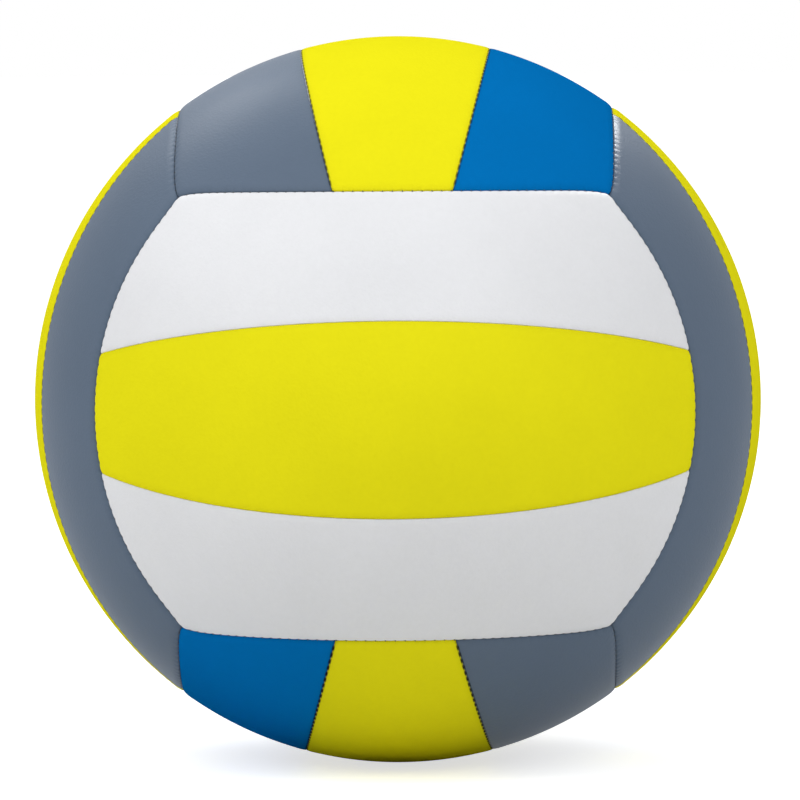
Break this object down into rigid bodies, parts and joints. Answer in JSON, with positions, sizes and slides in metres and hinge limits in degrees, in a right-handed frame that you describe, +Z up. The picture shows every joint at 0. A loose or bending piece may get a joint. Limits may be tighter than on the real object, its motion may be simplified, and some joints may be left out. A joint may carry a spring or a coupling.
{
  "type": "volleyball",
  "caption": "Sewn volleyball with a soft cover of parallel strips on six faces, foam-backed panels, an air bladder and a self-sealing needle valve.",
  "frame": {"origin": "centre of the ball", "axes": "+Z up, the face with the level strips that the picture shows looks along -Y, the valve looks along +Y, +X is to the right in the picture"},
  "size_m": [0.213, 0.2129, 0.213],
  "materials": {
    "white_leather": "satin soft synthetic leather, white",
    "yellow_leather": "satin soft synthetic leather, bright yellow",
    "grey_leather": "satin soft synthetic leather, blue-grey",
    "blue_leather": "satin soft synthetic leather, mid blue",
    "foam": "matt closed-cell foam with a cloth face",
    "seam_thread": "matt waxed polyester thread, charcoal",
    "bladder_rubber": "smooth matt rubber, black",
    "patch_rubber": "cloth-faced rubber, dark grey",
    "valve_rubber": "moulded rubber, dark grey",
    "insert_rubber": "soft moulded rubber, mid grey"
  },
  "bodies": {
    "root": {"front_upper_panel": "white_leather", "front_middle_panel": "yellow_leather", "front_lower_panel": "white_leather", "back_upper_panel": "white_leather", "back_middle_panel": "yellow_leather", "back_lower_panel": "white_leather", "top_left_panel": "grey_leather", "top_middle_panel": "yellow_leather", "top_right_panel": "blue_leather", "bottom_left_panel": "blue_leather", "bottom_middle_panel": "yellow_leather", "bottom_right_panel": "grey_leather", "left_front_panel": "grey_leather", "left_middle_panel": "yellow_leather", "left_back_panel": "blue_leather", "right_front_panel": "grey_leather", "right_middle_panel": "yellow_leather", "right_back_panel": "blue_leather", "front_upper_foam": "foam", "front_middle_foam": "foam", "front_lower_foam": "foam", "back_upper_foam": "foam", "back_middle_foam": "foam", "back_lower_foam": "foam", "top_left_foam": "foam", "top_middle_foam": "foam", "top_right_foam": "foam", "bottom_left_foam": "foam", "bottom_middle_foam": "foam", "bottom_right_foam": "foam", "left_front_foam": "foam", "left_middle_foam": "foam", "left_back_foam": "foam", "right_front_foam": "foam", "right_middle_foam": "foam", "right_back_foam": "foam", "strip_seam_threads": "seam_thread", "edge_seam_threads": "seam_thread", "bladder": "bladder_rubber", "valve_patch": "patch_rubber", "valve_housing": "valve_rubber", "valve_insert": "insert_rubber"}
  },
  "joints": []
}
